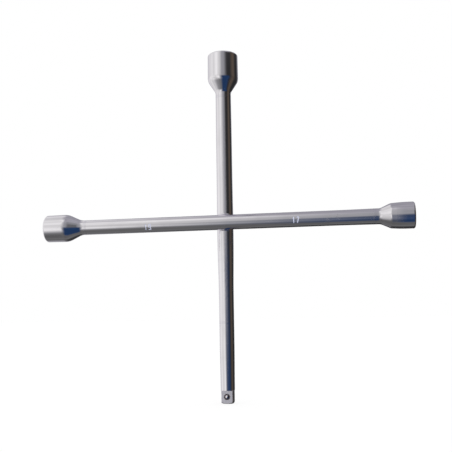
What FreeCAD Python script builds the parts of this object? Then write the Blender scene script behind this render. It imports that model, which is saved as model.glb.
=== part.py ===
import FreeCAD, Part
import math
import os
from FreeCAD import Vector

os.makedirs("parts", exist_ok=True)

# Four-way lug wrench: two crossed round bars, three hexagon sockets and one square drive.
# Frame: +X along the horizontal bar, +Z along the vertical bar towards the large socket,
# -Y towards the front (the side of the horizontal bar). Origin: centre of the whole cross.
# All sizes in mm.

# ---- bars ----
h_arm = 200.0            # centre to the mouth of either horizontal socket
v_arm = 191.3            # centre to the top socket's mouth, and to the drive's end
bar_spacing = 12.0       # between the two bar axes, front to back
h_bar_r = 8.02           # horizontal bar radius
h_end_r = 8.30           # the same bar where it is upset for the right socket
h_swell_start = 110.0    # where it starts to swell towards that end
v_top_r = 8.48           # vertical bar radius at the top socket
drive_seam = -106.7      # height of the weld between vertical bar and drive shank
drive_seam_r = 7.86      # bar and shank radius at that weld

# ---- butt welds ----
groove_half = 1.7        # half width of the weld at the surface
groove_core_r = 5.0      # radius of the unbevelled core
crown = 0.02             # height of the ground weld crown
seam_setback = 5.7       # from the root of a socket's neck back to the middle of its weld

# ---- fillet welds round the crossing ----
upper_fillet = 2.8       # radius above the horizontal bar
lower_fillet = 1.2       # radius below it
cross_reach = 9.0        # the crossing's edges lie within this of the centre in X and Z

# ---- sockets: lengths along the arm are measured from the centre of the cross ----
# flats: hexagon across flats; neck_r: radius of the neck; root, shoulder: ends of the flare;
# hex_depth, relief_depth: depths of the hexagon and of the round relief behind it;
# knee: extra (radius, length, fillet) points between shoulder and mouth
left = dict(flats=19.0, neck_r=h_bar_r, root=159.7, root_fillet=16.0,
            shoulder=174.9, shoulder_r=15.08, shoulder_fillet=17.0, knee=[],
            mouth=h_arm, mouth_r=14.80, hex_depth=16.0, relief_depth=24.0)
right = dict(flats=17.0, neck_r=h_end_r, root=165.0, root_fillet=9.0,
             shoulder=175.5, shoulder_r=13.06, shoulder_fillet=4.5, knee=[(13.82, 186.0, 150.0)],
             mouth=h_arm, mouth_r=13.90, hex_depth=15.0, relief_depth=22.0)
top = dict(flats=22.0, neck_r=v_top_r, root=147.9, root_fillet=6.5,
           shoulder=161.2, shoulder_r=16.95, shoulder_fillet=11.0, knee=[],
           mouth=v_arm, mouth_r=16.72, hex_depth=18.0, relief_depth=27.0)
for spec in (left, right, top):
    spec["seam"] = round(spec["root"] - seam_setback, 2)
rim_fillet = 2.0         # rounding of the outer rim
relief_step = 0.25       # relief radius is half the flats less this
relief_tip_angle = 31.0  # slope of the relief's conical bottom, degrees
mouth_lead = 0.5         # 45 degree lead-in starts this far outside the hexagon corners

# ---- square drive, 12.7 mm (1/2 in) ----
drive_flats = 12.7
drive_corner_r = 8.6     # the square's corners lie on a circle of this radius
drive_flare = 0.6        # height of the ledge where those corners stand out of the shank
drive_len = 13.6         # length of the flats
drive_top = -v_arm + drive_len
runout_r = 0.4           # rounding at the upper end of the flats
chamfer_end_r = 5.5      # radius left at the end face by the turned chamfer
chamfer_h = 1.7          # height of that chamfer at the corners

# ---- detent in the drive's front flat; depths are measured from the flat ----
ball_r = 3.0
ball_up = 7.2            # ball centre above the end face
ball_proud = 1.15        # how far the ball stands out of the flat
bore_r = 3.06
bore_depth = 9.7
lip_r = 2.46             # staked lip at the surface
lip_depth = 0.8
stake_r_in = 2.75        # ring left by the staking punch
stake_r_out = 3.30
stake_depth = 0.22
wire_r = 0.35
coil_r = 2.2
coils = 4.4
spring_ball_gap = 0.03   # clearance between spring and ball
spring_floor_gap = 0.02  # clearance between spring and bore bottom

# ---- size marks cut into the horizontal bar ----
mark_h = 6.6
mark_w = 3.1
mark_gap = 1.2
mark_stroke = 0.95
mark_depth = 0.30
# text, middle along X, turn about the bar from the front downwards in degrees
marks = [("19", -82.1, 23.0), ("17", 78.1, 10.0)]

# Meridians as (height, radius). The vertical bar is pressed wider round the crossing.
v_profile = [
    (top["seam"], v_top_r), (110.0, 8.62), (85.0, 8.64), (60.0, 8.62), (38.0, 8.66),
    (18.0, 8.74), (0.0, 8.84), (-18.0, 8.78), (-42.0, 8.44), (-62.0, 8.04),
    (-80.0, 7.90), (drive_seam, drive_seam_r),
]
# The drive shank, from its weld down to the start of the square.
shank_profile = [
    (drive_seam, drive_seam_r), (-130.0, 7.86), (-148.0, 7.73), (-162.0, 7.58),
    (drive_top, 7.47),
]

overrun = 1.0            # cutters run this far past the surface they cut
origin = Vector(0, 0, 0)
x_axis = Vector(1, 0, 0)
y_axis = Vector(0, 1, 0)
z_axis = Vector(0, 0, 1)


# ---- shape helpers ----
def at(radius, height):
    """Point of a meridian in the XZ plane."""
    return Vector(radius, 0, height)


def line(start, end):
    return Part.LineSegment(start, end).toShape()


def fillet_arc(before, tip, after, radius):
    """Start, middle, end and centre of a fillet at tip between its two neighbours."""
    to_before = (before - tip).normalize()
    to_after = (after - tip).normalize()
    half = math.acos(max(-1.0, min(1.0, to_before.dot(to_after)))) / 2
    setback = radius / math.tan(half)
    bisector = (to_before + to_after).normalize()
    centre = tip + bisector * (radius / math.sin(half))
    return (tip + to_before * setback, centre - bisector * radius,
            tip + to_after * setback, centre)


def face_of(points):
    """Closed face in the XZ plane from (radius, height[, fillet]) points."""
    tips = [at(point[0], point[1]) for point in points]
    count = len(points)
    corners = []
    for i, point in enumerate(points):
        if len(point) > 2:
            corners.append(fillet_arc(tips[i - 1], tips[i], tips[(i + 1) % count], point[2])[:3])
        else:
            corners.append((tips[i], None, tips[i]))
    edges = []
    for i, (start, middle, end) in enumerate(corners):
        if middle is not None:
            edges.append(Part.Arc(start, middle, end).toShape())
        next_start = corners[(i + 1) % count][0]
        if (next_start - end).Length > 1e-7:
            edges.append(line(end, next_start))
    return Part.Face(Part.Wire(edges))


def spin(face):
    return face.revolve(origin, z_axis, 360)


def turned(points):
    return spin(face_of(points))


def one(shape):
    """The single solid in a shape, or a compound if there are several."""
    solids = shape.Solids
    return solids[0] if len(solids) == 1 else Part.makeCompound(solids)


def slab(bottom, height):
    """Block round the Z axis, wide enough to span the crossing."""
    return Part.makeBox(60, 60, height, Vector(-30, -30, bottom))


def placed(shape, axis_y, turn=0.0):
    """Copy of a shape built along +Z, turned about Y and moved to its bar's axis."""
    shape = shape.copy()
    shape.rotate(origin, y_axis, turn)
    shape.translate(Vector(0, axis_y, 0))
    return shape


def save(name, shape):
    shape.exportStep("parts/%s.step" % name)


# ---- sockets and butt welds, built along +Z ----
def socket(spec):
    """Socket with its neck ending in a bevelled butt."""
    mouth, seam, neck_r = spec["mouth"], spec["seam"], spec["neck_r"]
    half_flats = spec["flats"] / 2
    corner_r = spec["flats"] / math.sqrt(3)
    body = turned([
        (0.0, seam),
        (groove_core_r, seam),
        (neck_r, seam + groove_half),
        (neck_r, spec["root"], spec["root_fillet"]),
        (spec["shoulder_r"], spec["shoulder"], spec["shoulder_fillet"]),
        *spec["knee"],
        (spec["mouth_r"], mouth, rim_fillet),
        (0.0, mouth),
    ])

    lead_small_r = half_flats - overrun
    lead_large_r = corner_r + mouth_lead + overrun
    lead_h = lead_large_r - lead_small_r
    lead_in = Part.makeCone(lead_small_r, lead_large_r, lead_h, at(0, mouth + overrun - lead_h))

    angles = [math.radians(60 * i) for i in range(7)]
    hex_bottom = mouth - spec["hex_depth"]
    outline = [Vector(corner_r * math.cos(angle), corner_r * math.sin(angle), hex_bottom)
               for angle in angles]
    hex_cut = Part.Face(Part.makePolygon(outline)).extrude(at(0, spec["hex_depth"] + overrun))

    relief_r = half_flats - relief_step
    relief_bottom = mouth - spec["relief_depth"]
    tip_h = relief_r * math.tan(math.radians(relief_tip_angle))
    relief = turned([(0, relief_bottom - tip_h), (relief_r, relief_bottom),
                     (relief_r, mouth + overrun), (0, mouth + overrun)])
    return one(body.cut(lead_in.multiFuse([hex_cut, relief])))


def butt_weld(radius, seam):
    """Ring of weld metal in the V groove at seam, with a low ground crown."""
    core = at(groove_core_r, seam)
    upper = at(radius, seam + groove_half)
    lower = at(radius, seam - groove_half)
    crown_arc = Part.Arc(upper, at(radius + crown, seam), lower).toShape()
    return one(spin(Part.Face(Part.Wire([line(core, upper), crown_arc, line(lower, core)]))))


# ---- bars, built along Z ----
def bevel_ends(bar, ends):
    """Bevel bar ends for butt welds: (height, radius, +1 for an upper end or -1 for a lower)."""
    cutters = []
    for z, radius, side in ends:
        slope = groove_half / (radius - groove_core_r)
        outer_r = radius + overrun
        cutters.append(turned([
            (groove_core_r, z),
            (outer_r, z - side * slope * (outer_r - groove_core_r)),
            (outer_r, z + side * overrun),
            (groove_core_r, z + side * overrun),
        ]))
    return one(bar.cut(cutters))


def smooth_bar(knots, tail=()):
    """Bar with a smooth meridian through (height, radius) knots, then straight to tail points."""
    curve = Part.BSplineCurve()
    curve.interpolate([at(radius, z) for z, radius in knots])
    top_z, top_r = knots[0]
    z, radius = knots[-1]
    edges = [line(at(0, top_z), at(top_r, top_z)), curve.toShape()]
    for next_z, next_r in tail:
        edges.append(line(at(radius, z), at(next_r, next_z)))
        z, radius = next_z, next_r
    edges += [line(at(radius, z), at(0, z)), line(at(0, z), at(0, top_z))]
    return spin(Part.Face(Part.Wire(edges)))


def stroke(x0, z0, x1, z1):
    """Round-ended stroke of a numeral as a prism along Y, from in front of the bar to its axis."""
    depth = 12
    along = Vector(x1 - x0, 0, z1 - z0)
    side = Vector(-along.z, 0, along.x).normalize() * (mark_stroke / 2)
    start = Vector(x0, -depth, z0)
    end = Vector(x1, -depth, z1)
    outline = [start + side, end + side, end - side, start - side, start + side]
    body = Part.Face(Part.makePolygon(outline)).extrude(y_axis * depth)
    caps = [Part.makeCylinder(mark_stroke / 2, depth, point, y_axis) for point in (start, end)]
    return body.multiFuse(caps)


def mark_cutter(text, x_mid, turn):
    """Plain stroke numerals on a bar along X, as the metal they remove."""
    w = mark_w - mark_stroke
    h = mark_h - mark_stroke
    # strokes as (x, z, x, z) from the numeral's lower left
    glyphs = {
        "1": [(w * 0.5, 0, w * 0.5, h), (w * 0.5, h, w * 0.15, h * 0.8)],
        "7": [(0, h, w, h), (w, h, w * 0.3, 0)],
        "9": [(0, h, w, h), (0, h, 0, h * 0.5), (0, h * 0.5, w, h * 0.5), (w, h, w, 0),
              (w, 0, 0, 0)],
    }
    width = len(text) * mark_w + (len(text) - 1) * mark_gap
    x = x_mid - width / 2 + mark_stroke / 2
    strokes = []
    for numeral in text:
        for x0, z0, x1, z1 in glyphs[numeral]:
            strokes.append(stroke(x + x0, z0 - h / 2, x + x1, z1 - h / 2))
        x += mark_w + mark_gap
    numerals = strokes[0].multiFuse(strokes[1:])
    skin_start = Vector(x_mid - 20, 0, 0)
    skin = Part.makeCylinder(h_bar_r + 2, 40, skin_start, x_axis).cut(
        Part.makeCylinder(h_bar_r - mark_depth, 40, skin_start, x_axis))
    cutter = numerals.common(skin)
    cutter.rotate(origin, x_axis, turn)
    return cutter


def horizontal_bar(axis_y):
    """Bar between the side sockets, swelling on a tangent arc towards the right one."""
    right_end = right["seam"]
    left_end = -left["seam"]
    swell_len = right_end - h_swell_start
    rise = h_end_r - h_bar_r
    swell_r = (swell_len ** 2 + rise ** 2) / (2 * rise)
    half_angle = math.atan2(swell_len, swell_r - rise) / 2
    swell_start = at(h_bar_r, h_swell_start)
    swell_mid = at(h_bar_r + swell_r * (1 - math.cos(half_angle)),
                   h_swell_start + swell_r * math.sin(half_angle))
    swell_end = at(h_end_r, right_end)
    edges = [
        line(at(0, right_end), swell_end),
        Part.Arc(swell_end, swell_mid, swell_start).toShape(),
        line(swell_start, at(h_bar_r, left_end)),
        line(at(h_bar_r, left_end), at(0, left_end)),
        line(at(0, left_end), at(0, right_end)),
    ]
    bar = bevel_ends(spin(Part.Face(Part.Wire(edges))),
                     [(right_end, h_end_r, 1), (left_end, h_bar_r, -1)])
    bar.rotate(origin, y_axis, 90)
    first_mark, second_mark = [mark_cutter(*mark) for mark in marks]
    bar = one(bar.cut(first_mark.fuse(second_mark)))
    bar.translate(Vector(0, axis_y, 0))
    return bar


def cross_welds(v_bar, h_core, axis_y):
    """Fillet welds round the crossing, split into upper and lower beads."""
    cross = v_bar.common(slab(-35, 70)).fuse(h_core)
    seam_edges = []
    for edge in cross.Edges:
        step = (edge.LastParameter - edge.FirstParameter) / 8.0
        samples = [edge.valueAt(edge.FirstParameter + step * k) for k in range(9)]
        on_h_bar = all(abs(math.hypot(p.y - axis_y, p.z) - h_bar_r) < 0.02 for p in samples)
        near = all(abs(p.x) < cross_reach and abs(p.z) < cross_reach for p in samples)
        if on_h_bar and near:
            seam_edges.append(edge)
    beads = {}
    for name, bottom, radius in (("upper_cross_weld", 0, upper_fillet),
                                 ("lower_cross_weld", -30, lower_fillet)):
        bead = one(cross.makeFillet(radius, seam_edges).cut(cross))
        beads[name] = one(bead.common(slab(bottom, 30)))
    return beads


# ---- square drive and detent, built on the Z axis ----
flat_y = -drive_flats / 2
ball_z = -v_arm + ball_up


def into_flat(shape):
    """Turn a shape whose +Z is depth so that it sinks into the front flat at the ball."""
    shape.rotate(origin, x_axis, -90)
    shape.translate(Vector(0, flat_y, ball_z))
    return shape


def square_drive():
    shank = bevel_ends(
        smooth_bar(shank_profile,
                   [(drive_top - drive_flare, drive_corner_r), (-v_arm, drive_corner_r)]),
        [(drive_seam, drive_seam_r, 1)])

    # four flats
    reach = 12.0
    below = -v_arm - overrun
    side_cut = face_of([(drive_flats / 2, below), (reach, below), (reach, drive_top),
                        (drive_flats / 2, drive_top, runout_r)]).extrude(y_axis * (2 * reach))
    side_cut.translate(y_axis * -reach)
    for k in range(4):
        cutter = side_cut.copy()
        cutter.rotate(origin, z_axis, 90 * k)
        shank = shank.cut(cutter)

    # turned chamfer at the end
    slope = chamfer_h / (drive_corner_r - chamfer_end_r)
    outer_r = 10.0
    shank = shank.cut(turned([(chamfer_end_r, -v_arm), (chamfer_end_r, below), (outer_r, below),
                              (outer_r, -v_arm + slope * (outer_r - chamfer_end_r))]))

    # detent bore with its staked lip, and the punch ring round it
    bore = turned([(0, -overrun), (lip_r, -overrun), (lip_r, 0.0), (bore_r, lip_depth),
                   (bore_r, bore_depth), (0, bore_depth)])
    stake_overrun = 0.5
    stake = turned([(stake_r_in, -stake_overrun), (stake_r_out, -stake_overrun),
                    (stake_r_out, 0.0), ((stake_r_in + stake_r_out) / 2, stake_depth),
                    (stake_r_in, 0.0)])
    return one(shank.cut(into_flat(bore.fuse(stake))))


def detent_ball():
    return Part.makeSphere(ball_r, Vector(0, flat_y - ball_proud + ball_r, ball_z))


def detent_spring():
    """Coil between the back of the ball and the bottom of the bore."""
    ball_depth = ball_r - ball_proud
    contact = math.sqrt((ball_r + wire_r) ** 2 - coil_r ** 2)
    start = ball_depth + contact + spring_ball_gap
    length = bore_depth - wire_r - spring_floor_gap - start
    helix = Part.makeHelix(length / coils, length, coil_r)
    section = Part.Wire(Part.makeCircle(wire_r, Vector(coil_r, 0, 0), y_axis))
    spring = one(Part.Wire(helix.Edges).makePipeShell([section], True, True))
    spring.translate(at(0, start))
    return into_flat(spring)


# ---- assembly ----
def largest_r(spec):
    """Largest outer radius of a socket without a knee, at its shoulder fillet."""
    centre = fillet_arc(at(spec["neck_r"], spec["root"]),
                        at(spec["shoulder_r"], spec["shoulder"]),
                        at(spec["mouth_r"], spec["mouth"]), spec["shoulder_fillet"])[3]
    return centre.x + spec["shoulder_fillet"]


# the bar axes lie so that the whole cross is centred front to back
h_y = (largest_r(left) - largest_r(top) - bar_spacing) / 2.0
v_y = h_y + bar_spacing

for name, spec, axis_y, turn in (("left", left, h_y, -90), ("right", right, h_y, 90),
                                 ("top", top, v_y, 0)):
    save(name + "_socket", placed(socket(spec), axis_y, turn))
    save(name + "_neck_weld", placed(butt_weld(spec["neck_r"], spec["seam"]), axis_y, turn))

save("horizontal_bar", horizontal_bar(h_y))

# the vertical bar is notched where the horizontal bar passes
v_bar = bevel_ends(smooth_bar(v_profile),
                   [(top["seam"], v_top_r, 1), (drive_seam, drive_seam_r, -1)])
v_bar.translate(Vector(0, v_y, 0))
h_core = Part.makeCylinder(h_bar_r, 80, Vector(-40, h_y, 0), x_axis)
save("vertical_bar", one(v_bar.cut(h_core)))
for name, bead in cross_welds(v_bar, h_core, h_y).items():
    save(name, bead)

save("square_drive", placed(square_drive(), v_y))
save("detent_ball", placed(detent_ball(), v_y))
save("detent_spring", placed(detent_spring(), v_y))
save("drive_weld", placed(butt_weld(drive_seam_r, drive_seam), v_y))
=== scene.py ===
# A chromed four-way wrench, upright in the XZ plane and seen from the front (-Y).
# One bar lies along X, with a socket at each end. The other stands along Z, with a socket
# on top and a square drive with a detent ball at the foot. Welds join the pieces.
# Lengths are in metres.
import bpy
import math
from mathutils import Matrix, Vector


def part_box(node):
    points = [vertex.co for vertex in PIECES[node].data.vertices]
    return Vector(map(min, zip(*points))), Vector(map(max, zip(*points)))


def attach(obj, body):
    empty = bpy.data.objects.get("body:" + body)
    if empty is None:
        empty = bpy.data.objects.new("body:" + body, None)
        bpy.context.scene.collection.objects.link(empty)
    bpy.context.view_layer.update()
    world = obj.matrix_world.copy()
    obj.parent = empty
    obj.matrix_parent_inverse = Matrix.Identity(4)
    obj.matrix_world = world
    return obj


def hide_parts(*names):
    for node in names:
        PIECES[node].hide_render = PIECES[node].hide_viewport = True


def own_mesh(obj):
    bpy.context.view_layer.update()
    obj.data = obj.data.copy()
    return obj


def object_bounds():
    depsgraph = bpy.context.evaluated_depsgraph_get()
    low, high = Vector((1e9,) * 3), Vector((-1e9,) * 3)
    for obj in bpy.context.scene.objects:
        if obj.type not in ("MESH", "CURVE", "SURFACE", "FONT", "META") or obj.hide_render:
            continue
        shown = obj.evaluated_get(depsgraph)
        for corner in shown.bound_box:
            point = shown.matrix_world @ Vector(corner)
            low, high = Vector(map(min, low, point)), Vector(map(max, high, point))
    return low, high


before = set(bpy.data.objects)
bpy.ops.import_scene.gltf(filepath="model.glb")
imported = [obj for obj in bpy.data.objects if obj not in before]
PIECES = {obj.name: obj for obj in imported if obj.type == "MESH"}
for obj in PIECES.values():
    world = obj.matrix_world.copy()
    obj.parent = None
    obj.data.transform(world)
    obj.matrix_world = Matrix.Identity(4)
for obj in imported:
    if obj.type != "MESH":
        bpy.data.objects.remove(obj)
cad_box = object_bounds()
scene = bpy.context.scene


def box_centre(piece):
    low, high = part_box(piece)
    return [(a + b) / 2 for a, b in zip(low, high)]


# ------------------------------------------------------------------ sizes and places
_, BAR_Y, BAR_Z = box_centre("horizontal_bar")
HORIZONTAL_AXIS = (BAR_Y, BAR_Z)                            # its Y and Z
VERTICAL_AXIS = (0.0, box_centre("top_neck_weld")[1])       # its X and Y
CROSSING = (0.0, BAR_Z)                                     # X and Z where the bars cross
BALL = Vector(box_centre("detent_ball"))
DRIVE_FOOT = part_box("square_drive")[0][2]

BAR_RADIUS = 0.00802
FLOOR_HALF = 60.0

CAMERA_PLACE = Vector((0.125431, -0.743984, -0.103379))
CAMERA_YAW, CAMERA_PITCH, CAMERA_ROLL = map(math.radians, (-9.448, 7.568, -0.914))
CAMERA_LENS = 55.924566        # mm
CAMERA_SENSOR = 36.0           # mm

# The studio: broad, soft-edged cards round the object, each laid over the ones before.
# Angles are in degrees; azimuth runs from the front (-Y) towards +X.
STUDIO_BASE = (0.35, 0.35, 0.37)
STUDIO = [
    # name, azimuth from and to, elevation from and to, edge softness in each, colour
    ("ceiling", -180, 180, 50, 120, 20, 20, (0.42, 0.41, 0.45)),
    ("floor", -180, 180, -110, -40, 20, 30, (0.15, 0.15, 0.15)),
    ("back_floor", 110, 200, -60, 5, 30, 10, (0.05, 0.05, 0.05)),
    ("left_softbox", -150, -10, -30, 70, 30, 30, (0.92, 0.91, 0.90)),
    ("right_flag", 25, 150, -50, 30, 40, 20, (0.03, 0.03, 0.03)),
    ("right_strip", 75, 105, -45, 55, 30, 20, (0.11, 0.085, 0.065)),
    ("low_blue_flag", -5, 60, -70, 0, 30, 20, (0.02, 0.05, 0.13)),
]
WHITE = (1.0, 1.0, 1.0)
SOFT_STRENGTH = 1.16           # white light that diffuse surfaces receive


# ------------------------------------------------------------------ node helper
class NodeTree:
    """Adds nodes to a tree; arguments may be sockets, to be linked, or plain values."""

    def __init__(self, tree):
        self.tree = tree
        self.tree.nodes.clear()
        self.count = 0

    def node(self, kind, **props):
        node = self.tree.nodes.new(kind)
        row, column = divmod(self.count, 12)
        node.location = (column * 180, -row * 260)
        self.count += 1
        for key, value in props.items():
            setattr(node, key, value)
        return node

    def put(self, socket, value):
        if value is None:
            return
        if isinstance(value, bpy.types.NodeSocket):
            self.tree.links.new(value, socket)
        elif isinstance(value, tuple) and len(value) == 3 and socket.type == "RGBA":
            socket.default_value = (*value, 1.0)
        else:
            socket.default_value = value

    def fill(self, node, values):
        """Sets inputs from a dict of input name or number to value."""
        for key, value in values.items():
            self.put(node.inputs[key], value)
        return node

    # arithmetic
    def math(self, operation, *values):
        node = self.node("ShaderNodeMath", operation=operation)
        return self.fill(node, dict(enumerate(values))).outputs[0]

    def add(self, a, b):
        return self.math("ADD", a, b)

    def sub(self, a, b):
        return self.math("SUBTRACT", a, b)

    def mul(self, first, *others):
        for other in others:
            first = self.math("MULTIPLY", first, other)
        return first

    def add_scaled(self, value, mask, by):
        return self.add(value, self.mul(mask, by))

    def swell(self, noise, depth):
        """A height of about +-depth/2 from a noise."""
        return self.mul(self.sub(noise, 0.5), depth)

    def vary(self, noise, amount):
        """A factor round 1 from a noise."""
        return self.math("MULTIPLY_ADD", self.sub(noise, 0.5), amount, 1.0)

    def ramp(self, value, at, to=(0.0, 1.0), smooth=True):
        """Takes the range `at`, which may fall, to the range `to`, clamped."""
        kind = "SMOOTHSTEP" if smooth else "LINEAR"
        node = self.node("ShaderNodeMapRange", interpolation_type=kind, clamp=True)
        return self.fill(node, dict(enumerate((value, *at, *to)))).outputs[0]

    # vectors
    def vector(self, operation, *values):
        node = self.node("ShaderNodeVectorMath", operation=operation)
        self.fill(node, dict(enumerate(values)))
        return node.outputs["Value" if operation in ("LENGTH", "DOT_PRODUCT") else "Vector"]

    def split(self, vector):
        return tuple(self.fill(self.node("ShaderNodeSeparateXYZ"), {0: vector}).outputs)

    def join(self, x, y, z):
        return self.fill(self.node("ShaderNodeCombineXYZ"), {0: x, 1: y, 2: z}).outputs[0]

    def length(self, x, y, z):
        return self.vector("LENGTH", self.join(x, y, z))

    # textures
    def noise(self, place, scale=1.0, detail=2.0, rough=0.5, distortion=0.0, waves=None):
        """Noise; `waves` first scales the place along X, Y and Z, per metre."""
        if waves is not None:
            place = self.vector("MULTIPLY", place, waves)
        node = self.node("ShaderNodeTexNoise", noise_dimensions="3D")
        return self.fill(node, {"Vector": place, "Scale": scale, "Detail": detail,
                                "Roughness": rough, "Distortion": distortion}).outputs[0]

    def voronoi(self, place, scale):
        node = self.node("ShaderNodeTexVoronoi", feature="F1")
        return self.fill(node, {"Vector": place, "Scale": scale}).outputs["Distance"]

    # colours and mixes: `off` shows where the factor is 0, `on` where it is 1
    def mix_colour(self, factor, off, on):
        node = self.node("ShaderNodeMix", data_type="RGBA", blend_type="MIX")
        return self.fill(node, {0: factor, 6: off, 7: on}).outputs[2]

    def mix_value(self, factor, off, on):
        node = self.node("ShaderNodeMix", data_type="FLOAT")
        return self.fill(node, {0: factor, 2: off, 3: on}).outputs[0]

    def tint(self, colour, mask, by, to):
        """Mixes a colour `by` a share towards another, inside a mask."""
        return self.mix_colour(self.mul(mask, by), off=colour, on=to)

    def scale_colour(self, colour, factor):
        node = self.node("ShaderNodeVectorMath", operation="SCALE")
        return self.fill(node, {0: colour, "Scale": factor}).outputs["Vector"]

    # shaders
    def light(self, kind, colour, strength):
        return self.fill(self.node(kind), {0: colour, 1: strength}).outputs[0]

    def mix_shader(self, factor, off, on):
        return self.fill(self.node("ShaderNodeMixShader"), {0: factor, 1: off, 2: on}).outputs[0]

    def output(self, shader, kind="ShaderNodeOutputMaterial"):
        self.fill(self.node(kind), {0: shader})


# ------------------------------------------------------------------ studio
def card_mask(tree, angle, half, softness):
    """1 within half an opening of a card's middle, with a soft edge."""
    return tree.ramp(angle, at=(half + softness / 2, half - softness / 2))


def build_world():
    world = bpy.data.worlds.new("studio")
    world.use_nodes = True
    tree = NodeTree(world.node_tree)
    generated = tree.node("ShaderNodeTexCoord").outputs["Generated"]
    direction = tree.vector("NORMALIZE", generated)
    x, y, z = tree.split(direction)
    degrees = 180 / math.pi
    azimuth = tree.mul(tree.math("ARCTAN2", x, tree.mul(y, -1.0)), degrees)
    elevation = tree.mul(tree.math("ARCSINE", z), degrees)

    colour = tree.join(*STUDIO_BASE)
    for _, az_from, az_to, el_from, el_to, az_soft, el_soft, card in STUDIO:
        turn = tree.sub(azimuth, (az_from + az_to) / 2)
        half = (az_to - az_from) / 2
        if half >= 180:
            across = 1.0
        else:
            turn = tree.math("ABSOLUTE", tree.math("WRAP", turn, 180.0, -180.0))
            across = card_mask(tree, turn, half, az_soft)
        rise = tree.math("ABSOLUTE", tree.sub(elevation, (el_from + el_to) / 2))
        upward = card_mask(tree, rise, (el_to - el_from) / 2, el_soft)
        colour = tree.mix_colour(tree.mul(across, upward), off=colour, on=card)
    # no card is lit quite evenly
    uneven = tree.noise(direction, scale=2.4, detail=1.0)
    uneven = tree.ramp(uneven, at=(0.30, 0.70), to=(0.84, 1.16), smooth=False)
    colour = tree.scale_colour(colour, uneven)

    # reflections see the cards, diffuse surfaces a soft white, the camera plain white
    ray = tree.node("ShaderNodeLightPath").outputs
    cards = tree.light("ShaderNodeBackground", colour, strength=1.0)
    white = tree.light("ShaderNodeBackground", WHITE, strength=1.0)
    soft = tree.light("ShaderNodeBackground", WHITE, strength=SOFT_STRENGTH)
    shader = tree.mix_shader(ray["Is Diffuse Ray"], off=cards, on=soft)
    shader = tree.mix_shader(ray["Is Camera Ray"], off=shader, on=white)
    tree.output(shader, "ShaderNodeOutputWorld")
    world.cycles.sampling_method = "NONE"
    scene.world = world


# ------------------------------------------------------------------ shared by materials
def new_material(name):
    """A material, its node helper and the object coordinates."""
    material = bpy.data.materials.new(name)
    material.use_nodes = True
    tree = NodeTree(material.node_tree)
    return material, tree, tree.node("ShaderNodeTexCoord").outputs["Object"]


def waves_along(axis, along, across):
    return tuple(along if name == axis else across for name in "XYZ")


def axis_offsets(tree, place, axis, centre):
    """The coordinate along an axis, and the two offsets from `centre` across it."""
    parts = dict(zip("XYZ", tree.split(place)))
    along = parts.pop(axis)
    first, second = parts.values()
    return along, tree.sub(first, centre[0]), tree.sub(second, centre[1])


def chrome(tree, place, axis, streak=1.0, base=(0.745, 0.735, 0.765)):
    """Chrome polished along an axis: its colour, roughness, height and smudge noise."""
    def grain(length, width, **settings):
        return tree.noise(place, waves=waves_along(axis, 1.0 / length, 1.0 / width), **settings)

    fine = grain(length=0.030, width=0.00045, rough=0.55)
    middle = grain(length=0.055, width=0.0013)
    broad = grain(length=0.110, width=0.0034, detail=1.0)
    smudge = tree.noise(place, scale=38.0, detail=3.0, rough=0.6, distortion=0.4)
    cloud = tree.noise(place, scale=11.0)
    # hairline scratches: thin level lines of a stretched noise, kept only in patches
    warp = grain(length=0.018, width=0.0042, rough=0.6, distortion=0.3)
    hair = tree.ramp(tree.math("ABSOLUTE", tree.sub(warp, 0.53)), at=(0.006, 0.0015))
    patch = tree.ramp(tree.noise(place, scale=55.0, detail=1.0), at=(0.55, 0.66))
    hair = tree.mul(hair, patch)
    # small nicks, also in patches
    nick = tree.ramp(tree.voronoi(place, scale=150.0), at=(0.10, 0.05))
    patch = tree.ramp(tree.noise(place, scale=24.0, detail=1.0), at=(0.56, 0.64))
    nick = tree.mul(nick, patch)

    height = tree.swell(fine, depth=0.0000011 * streak)
    for noise, depth in ((middle, 0.0000050), (broad, 0.000022), (cloud, 0.00010)):
        height = tree.add(height, tree.swell(noise, depth * streak))
    for mark, depth in ((hair, 0.000006), (nick, 0.000012)):
        height = tree.sub(height, tree.mul(mark, depth))

    rough = tree.ramp(fine, at=(0.25, 0.75), to=(0.050, 0.105), smooth=False)
    rough = tree.add(rough, tree.ramp(smudge, at=(0.42, 0.72), to=(0.0, 0.05)))
    rough = tree.add_scaled(rough, hair, by=0.18)
    rough = tree.add_scaled(rough, nick, by=0.22)

    tone = tree.mul(
        tree.vary(middle, amount=0.16 * streak),
        tree.ramp(smudge, at=(0.45, 0.75), to=(1.0, 0.94)),
        tree.sub(1.0, tree.mul(nick, 0.35)),
    )
    return tree.scale_colour(tree.join(*base), tone), rough, height, smudge


def edge_mask(tree, radius):
    """1 on sharp edges, where a bevelled normal leaves the true one."""
    bevel = tree.fill(tree.node("ShaderNodeBevel", samples=4), {0: radius}).outputs[0]
    normal = tree.node("ShaderNodeNewGeometry").outputs["Normal"]
    return tree.ramp(tree.sub(1.0, tree.vector("DOT_PRODUCT", bevel, normal)), at=(0.004, 0.05))


def wear_off(tree, colour, rough, wear, to, strength, roughen):
    """Colour and roughness, duller where worn."""
    return tree.tint(colour, wear, by=strength, to=to), tree.add_scaled(rough, wear, by=roughen)


def finish_metal(tree, colour, rough, height, metallic=1.0, tint=(0.92, 0.90, 0.96),
                 anisotropy=0.25):
    bump = tree.fill(tree.node("ShaderNodeBump"),
                     {"Strength": 1.0, "Distance": 1.0, "Height": height})
    metal = tree.fill(tree.node("ShaderNodeBsdfPrincipled"), {
        "Base Color": colour,
        "Roughness": rough,
        "Metallic": metallic,
        "Specular Tint": tint,
        "Anisotropic": anisotropy,
        "Normal": bump.outputs[0],
    })
    tree.output(metal.outputs[0])


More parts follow.
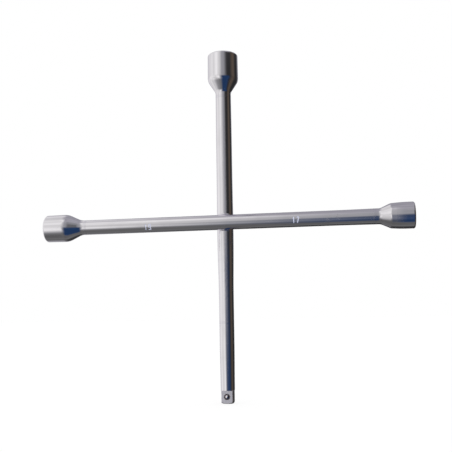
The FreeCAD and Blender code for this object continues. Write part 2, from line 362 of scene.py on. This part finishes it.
# ------------------------------------------------------------------ materials
def bar_material(name, axis):
    material, tree, place = new_material(name)
    colour, rough, height, smudge = chrome(tree, place, axis)
    metallic = 1.0
    if axis == "X":
        # numerals stamped in the bar: their floors carry a painted pale-blue glint, stronger
        # towards +X, and are rougher and less metallic
        x, off_y, off_z = axis_offsets(tree, place, "X", HORIZONTAL_AXIS)
        radius = tree.length(0.0, off_y, off_z)
        sunk = tree.mul(
            tree.ramp(radius, at=(BAR_RADIUS - 0.00008, BAR_RADIUS - 0.00022)),
            tree.ramp(tree.math("ABSOLUTE", x), at=(0.100, 0.095)),
        )
        # painted glint: how far the stamped floors are tinted pale blue
        painted_glint = tree.ramp(x, at=(-0.02, 0.02), to=(0.78, 0.95))
        colour = tree.tint(colour, sunk, by=painted_glint, to=(0.74, 0.78, 0.95))
        rough = tree.mix_value(sunk, off=rough, on=0.45)
        metallic = tree.mix_value(tree.mul(sunk, painted_glint), off=1.0, on=0.25)
    wear = tree.mul(edge_mask(tree, radius=0.0003), tree.ramp(smudge, at=(0.35, 0.6)))
    colour, rough = wear_off(tree, colour, rough, wear, to=(0.62, 0.60, 0.58),
                             strength=0.25, roughen=0.10)
    finish_metal(tree, colour, rough, height, metallic=metallic)
    return material


def socket_material(name, axis, centre, hexagon, mouth, facing, bore):
    """Chromed socket. hexagon: its corner radius; mouth: coordinate of the mouth along the
    axis; facing: +1 if the mouth points to + on that axis; bore: depth of the round relief."""
    material, tree, place = new_material(name)
    along, first, second = axis_offsets(tree, place, axis, centre)
    radius = tree.length(first, second, 0.0)
    depth = tree.mul(tree.sub(mouth, along), float(facing))
    colour, rough, height, _ = chrome(tree, place, axis, streak=0.8)

    # turned lines near the rim
    lines = tree.join(tree.mul(along, 3200.0), tree.mul(radius, 1200.0), 0.0)
    turned = tree.noise(lines, detail=1.0)
    rim = tree.ramp(depth, at=(0.0032, 0.0012))
    height = tree.add_scaled(height, tree.mul(rim, turned), by=0.000008)
    rough = tree.add_scaled(rough, rim, by=0.05)

    # the inside: broached flats, thinly plated, darker towards the bottom in blotches
    inside = tree.mul(
        tree.ramp(radius, at=(hexagon + 0.0009, hexagon + 0.0002)),
        tree.ramp(depth, at=(0.0005, 0.0035)),
        tree.ramp(depth, at=(bore + 0.0008, bore + 0.0003)),
    )
    broach = tree.noise(place, waves=waves_along(axis, along=60.0, across=2600.0), rough=0.6)
    blotch_noise = tree.noise(place, scale=260.0, detail=3.0, rough=0.6)
    steel = tree.mix_colour(tree.ramp(broach, at=(0.3, 0.7)),
                            off=(0.30, 0.29, 0.28), on=(0.42, 0.41, 0.40))
    steel = tree.tint(steel, tree.ramp(depth, at=(0.006, 0.020)),
                      by=tree.ramp(blotch_noise, at=(0.35, 0.65), to=(0.55, 1.0)),
                      to=(0.085, 0.072, 0.060))
    colour = tree.mix_colour(inside, off=colour, on=steel)
    oiled = tree.ramp(blotch_noise, at=(0.3, 0.7), to=(0.28, 0.48))
    rough = tree.mix_value(inside, off=rough, on=oiled)
    height = tree.add_scaled(height, tree.mul(inside, broach), by=0.000022)

    # edges worn near the mouth
    chips = tree.noise(place, scale=420.0, detail=3.0, rough=0.7)
    wear = tree.mul(edge_mask(tree, radius=0.00045), tree.ramp(chips, at=(0.36, 0.62)),
                    tree.ramp(depth, at=(0.012, 0.004)))
    colour, rough = wear_off(tree, colour, rough, wear, to=(0.50, 0.46, 0.41),
                             strength=0.55, roughen=0.16)
    finish_metal(tree, colour, rough, height)
    return material


# ripples per radian, how far lumps shift them, heights of ripples and lumps, pit darkness
RING = dict(waves=34.0, wobble=4.0, ripple=0.000003, lumps=0.000012, pitting=0.3)
BEAD = dict(waves=44.0, wobble=5.0, ripple=0.000035, lumps=0.00008, pitting=0.5)


def weld_material(name, kind, around, centre, grain):
    """Plated weld, rippled around one axis, its chrome grained along another or the same."""
    material, tree, place = new_material(name)
    _, first, second = axis_offsets(tree, place, around, centre)
    colour, rough, height, _ = chrome(tree, place, grain, streak=0.5, base=(0.70, 0.69, 0.73))
    lump = tree.noise(place, scale=900.0, detail=3.0, rough=0.6, distortion=0.5)
    angle = tree.math("ARCTAN2", second, first)
    phase = tree.math("MULTIPLY_ADD", lump, kind["wobble"], tree.mul(angle, kind["waves"]))
    height = tree.add_scaled(height, tree.math("SINE", phase), by=kind["ripple"])
    height = tree.add_scaled(height, lump, by=kind["lumps"])
    pits = tree.ramp(tree.voronoi(place, scale=700.0), at=(0.16, 0.06))
    colour = tree.tint(colour, pits, by=kind["pitting"], to=(0.20, 0.18, 0.19))
    rough = tree.add(rough, tree.ramp(lump, at=(0.35, 0.7), to=(0.03, 0.13)))
    rough = tree.add_scaled(rough, pits, by=0.2)
    finish_metal(tree, colour, rough, height, anisotropy=0.0)
    return material


def drive_material(name):
    material, tree, place = new_material(name)
    x, y, z = tree.split(place)
    colour, rough, height, _ = chrome(tree, place, "Z")
    square = tree.ramp(tree.sub(z, DRIVE_FOOT), at=(0.01365, 0.01345))

    # milled satin flats: fine cross lines under a thin plating
    mill = tree.noise(place, waves=waves_along("Z", along=5200.0, across=90.0), rough=0.6)
    cloud = tree.noise(place, scale=420.0, detail=3.0, rough=0.6)
    satin = tree.scale_colour(tree.join(0.83, 0.81, 0.86), tree.vary(cloud, amount=0.22))
    colour = tree.mix_colour(square, off=colour, on=satin)
    # rougher on the flats that face -Y and +Y
    normal_y = tree.split(tree.node("ShaderNodeNewGeometry").outputs["Normal"])[1]
    facing_y = tree.ramp(tree.math("ABSOLUTE", normal_y), at=(0.72, 0.90))
    satin_rough = tree.ramp(cloud, at=(0.3, 0.7), to=(0.07, 0.13))
    satin_rough = tree.add_scaled(satin_rough, facing_y, by=0.15)
    rough = tree.mix_value(square, off=rough, on=satin_rough)
    height = tree.add_scaled(height, tree.mul(square, mill), by=0.0000035)

    # painted shade round the ball's recess: a near-black ring where the gap lies in shadow
    distance = tree.length(tree.sub(x, BALL.x), 0.0, tree.sub(z, BALL.z))
    painted_recess_shade = tree.mul(
        tree.ramp(distance, at=(0.00325, 0.00285)),
        tree.ramp(y, at=(BALL.y, BALL.y - 0.0008)),
        tree.ramp(cloud, at=(0.25, 0.5), to=(0.75, 1.0)),
    )
    colour = tree.tint(colour, painted_recess_shade, by=0.92, to=(0.035, 0.028, 0.032))
    rough = tree.add_scaled(rough, painted_recess_shade, by=0.25)

    chips = tree.noise(place, scale=500.0, detail=3.0, rough=0.7)
    wear = tree.mul(edge_mask(tree, radius=0.0004), square, tree.ramp(chips, at=(0.38, 0.6)))
    colour, rough = wear_off(tree, colour, rough, wear, to=(0.70, 0.68, 0.66),
                             strength=0.35, roughen=0.08)
    finish_metal(tree, colour, rough, height, anisotropy=0.1)
    return material


def ball_material(name):
    """Polished steel with a painted highlight round the middle as seen along Y, and painted
    shade outside it.
    """
    material, tree, place = new_material(name)
    scuff = tree.noise(place, waves=waves_along("Z", along=900.0, across=2600.0), rough=0.6)
    blotch_noise = tree.noise(place, scale=900.0)
    x, _, z = tree.split(tree.vector("SUBTRACT", place, tuple(BALL)))
    # painted highlight: a bright disc on the front of the ball; outside it the dark colour is
    # painted shade
    painted_highlight = tree.ramp(tree.length(x, 0.0, tree.mul(z, 0.8)), at=(0.00165, 0.00085))
    colour = tree.mix_colour(tree.ramp(blotch_noise, at=(0.4, 0.75)),
                             off=(0.93, 0.92, 0.95), on=(0.80, 0.78, 0.80))
    colour = tree.mix_colour(painted_highlight, off=(0.20, 0.15, 0.18), on=colour)
    rough = tree.ramp(scuff, at=(0.3, 0.75), to=(0.07, 0.17))
    finish_metal(tree, colour, rough, height=tree.mul(scuff, 0.0000015),
                 tint=(0.8, 0.78, 0.8), anisotropy=0.0)
    return material


def spring_material(name):
    material, tree, place = new_material(name)
    drawn = tree.noise(place, scale=3000.0, rough=0.6)
    colour = tree.mix_colour(tree.ramp(drawn, at=(0.35, 0.7)),
                             off=(0.20, 0.19, 0.19), on=(0.36, 0.34, 0.32))
    rough = tree.ramp(drawn, at=(0.3, 0.7), to=(0.3, 0.5))
    finish_metal(tree, colour, rough, height=tree.mul(drawn, 0.000004), anisotropy=0.0)
    return material


def floor_material(name):
    """Pale diffuse floor that mostly glows white."""
    material, tree, place = new_material(name)
    grain = tree.noise(place, scale=60.0, detail=3.0)
    pale = tree.mix_colour(grain, off=(0.92, 0.92, 0.92), on=(0.95, 0.95, 0.95))
    diffuse = tree.fill(tree.node("ShaderNodeBsdfDiffuse"), {0: pale}).outputs[0]
    glow = tree.light("ShaderNodeEmission", WHITE, strength=1.0)
    tree.output(tree.mix_shader(0.82, off=diffuse, on=glow))
    return material


def assign(piece, material):
    piece = PIECES[piece]
    for slot in piece.material_slots:
        slot.material = material
    if not piece.material_slots:
        piece.data.materials.append(material)


def assign_materials():
    assign("horizontal_bar", bar_material("chrome_bar_x", "X"))
    assign("vertical_bar", bar_material("chrome_bar_z", "Z"))
    assign("left_socket", socket_material(
        "chrome_socket_left", "X", HORIZONTAL_AXIS, hexagon=0.01097,
        mouth=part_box("left_socket")[0][0], facing=-1, bore=0.0240))
    assign("right_socket", socket_material(
        "chrome_socket_right", "X", HORIZONTAL_AXIS, hexagon=0.009815,
        mouth=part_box("right_socket")[1][0], facing=1, bore=0.0220))
    assign("top_socket", socket_material(
        "chrome_socket_top", "Z", VERTICAL_AXIS, hexagon=0.012702,
        mouth=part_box("top_socket")[1][2], facing=1, bore=0.0270))
    for piece, name, kind, around, centre, grain in (
        ("left_neck_weld", "weld_left", RING, "X", HORIZONTAL_AXIS, "X"),
        ("right_neck_weld", "weld_right", RING, "X", HORIZONTAL_AXIS, "X"),
        ("top_neck_weld", "weld_top", RING, "Z", VERTICAL_AXIS, "Z"),
        ("drive_weld", "weld_drive", RING, "Z", VERTICAL_AXIS, "Z"),
        ("upper_cross_weld", "weld_cross_upper", BEAD, "Y", CROSSING, "X"),
        ("lower_cross_weld", "weld_cross_lower", BEAD, "Y", CROSSING, "X"),
    ):
        assign(piece, weld_material(name, kind, around, centre, grain))
    assign("square_drive", drive_material("satin_drive"))
    assign("detent_ball", ball_material("ball_steel_polished"))
    assign("detent_spring", spring_material("spring_wire"))


# ------------------------------------------------------------------ objects
def add_object(name, data):
    added = bpy.data.objects.new(name, data)
    scene.collection.objects.link(added)
    return added


def build_spring():
    """The detent's coil, as a piece of its own."""
    cad = PIECES["detent_spring"]
    mesh = bpy.data.meshes.new("detent_coil")
    mesh.from_pydata(
        [tuple(cad.matrix_world @ vertex.co) for vertex in cad.data.vertices],
        [],
        [tuple(face.vertices) for face in cad.data.polygons],
    )
    for face in mesh.polygons:
        face.use_smooth = True
    mesh.materials.append(cad.material_slots[0].material)
    coil = add_object("detent_coil", mesh)
    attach(coil, "wrench")
    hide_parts("detent_spring")
    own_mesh(coil)


def build_floor():
    """A wide square under the wrench, unseen in reflections."""
    mesh = bpy.data.meshes.new("floor")
    corners = ((-1, -1), (1, -1), (1, 1), (-1, 1))
    mesh.from_pydata([(x * FLOOR_HALF, y * FLOOR_HALF, cad_box[0][2]) for x, y in corners],
                     [], [(0, 1, 2, 3)])
    floor = add_object("studio_floor", mesh)
    mesh.materials.append(floor_material("pale_floor"))
    floor.visible_glossy = False


def build_camera():
    """Yaw turns the view from +Y towards +X, pitch lifts it, roll turns it about itself."""
    data = bpy.data.cameras.new("camera")
    data.sensor_width = CAMERA_SENSOR
    data.lens = CAMERA_LENS
    data.clip_start = 0.01
    data.clip_end = 200.0
    camera = add_object("camera", data)
    forward = Vector((
        math.sin(CAMERA_YAW) * math.cos(CAMERA_PITCH),
        math.cos(CAMERA_YAW) * math.cos(CAMERA_PITCH),
        math.sin(CAMERA_PITCH),
    ))
    level = Vector((math.cos(CAMERA_YAW), -math.sin(CAMERA_YAW), 0.0))
    upright = level.cross(forward)
    right = level * math.cos(CAMERA_ROLL) + upright * math.sin(CAMERA_ROLL)
    up = -level * math.sin(CAMERA_ROLL) + upright * math.cos(CAMERA_ROLL)
    pose = Matrix((right, up, -forward)).transposed().to_4x4()
    pose.translation = CAMERA_PLACE
    camera.matrix_world = pose
    scene.camera = camera


build_world()
assign_materials()
build_spring()
build_floor()
build_camera()
scene.view_settings.view_transform = "Standard"
scene.view_settings.look = "None"
scene.view_settings.exposure = 0.0
scene.view_settings.gamma = 1.0
